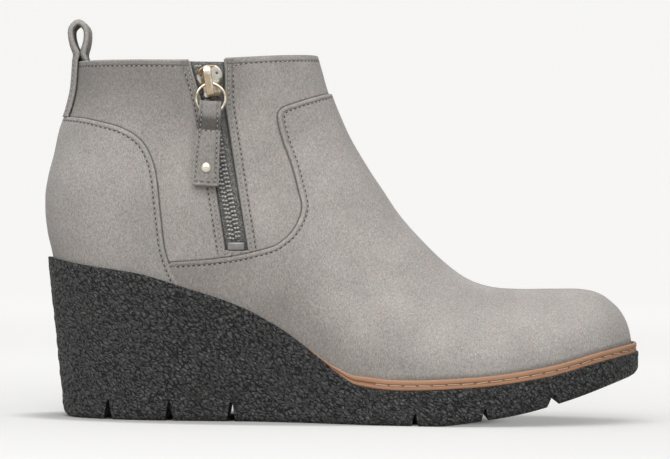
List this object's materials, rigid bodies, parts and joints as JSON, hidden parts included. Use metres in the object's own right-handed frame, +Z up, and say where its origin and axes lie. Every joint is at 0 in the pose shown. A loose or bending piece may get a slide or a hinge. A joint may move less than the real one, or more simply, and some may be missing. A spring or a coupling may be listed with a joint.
{
  "type": "wedge ankle boot",
  "caption": "Suede-look ankle boot on a crepe rubber wedge sole, with a tan welt, a side zip whose leather pull swings on a ring, and a pull loop at the back.",
  "frame": {"origin": "on the floor under the middle of the boot's bounding box", "axes": "+X from heel to toe, +Z up, -Y is the outer side of the foot, where the zip is"},
  "size_m": [0.2506, 0.0904, 0.166],
  "materials": {
    "suede_grey": "napped suede, warm grey, matt",
    "crepe_rubber": "charcoal crepe texture, matt",
    "welt_tan": "tan moulded welt with a stitched groove",
    "lining": "brushed textile lining and sock",
    "zip_fabric": "woven dark grey zip tape",
    "zip_plastic": "moulded dark grey coil",
    "pale_gold": "polished pale gold plating"
  },
  "bodies": {
    "boot": {"sole": "crepe_rubber", "welt": "welt_tan", "upper": "suede_grey", "insole": "lining", "heel_counter": "suede_grey", "pull_loop": "suede_grey", "zip_tape": "zip_fabric", "zip_coil": "zip_plastic", "zip_stop": "pale_gold", "zip_slider": "pale_gold"},
    "zip_pull": {"pull_ring": "pale_gold", "pull_tab": "suede_grey", "pull_rivet": "pale_gold"}
  },
  "joints": [
    {"name": "pull_swing", "type": "hinge", "parent": "boot", "child": "zip_pull", "pos_m": [-0.05528, -0.02955, 0.13918], "axis": [-1, 0, 0], "range_deg": [0, 135]}
  ]
}
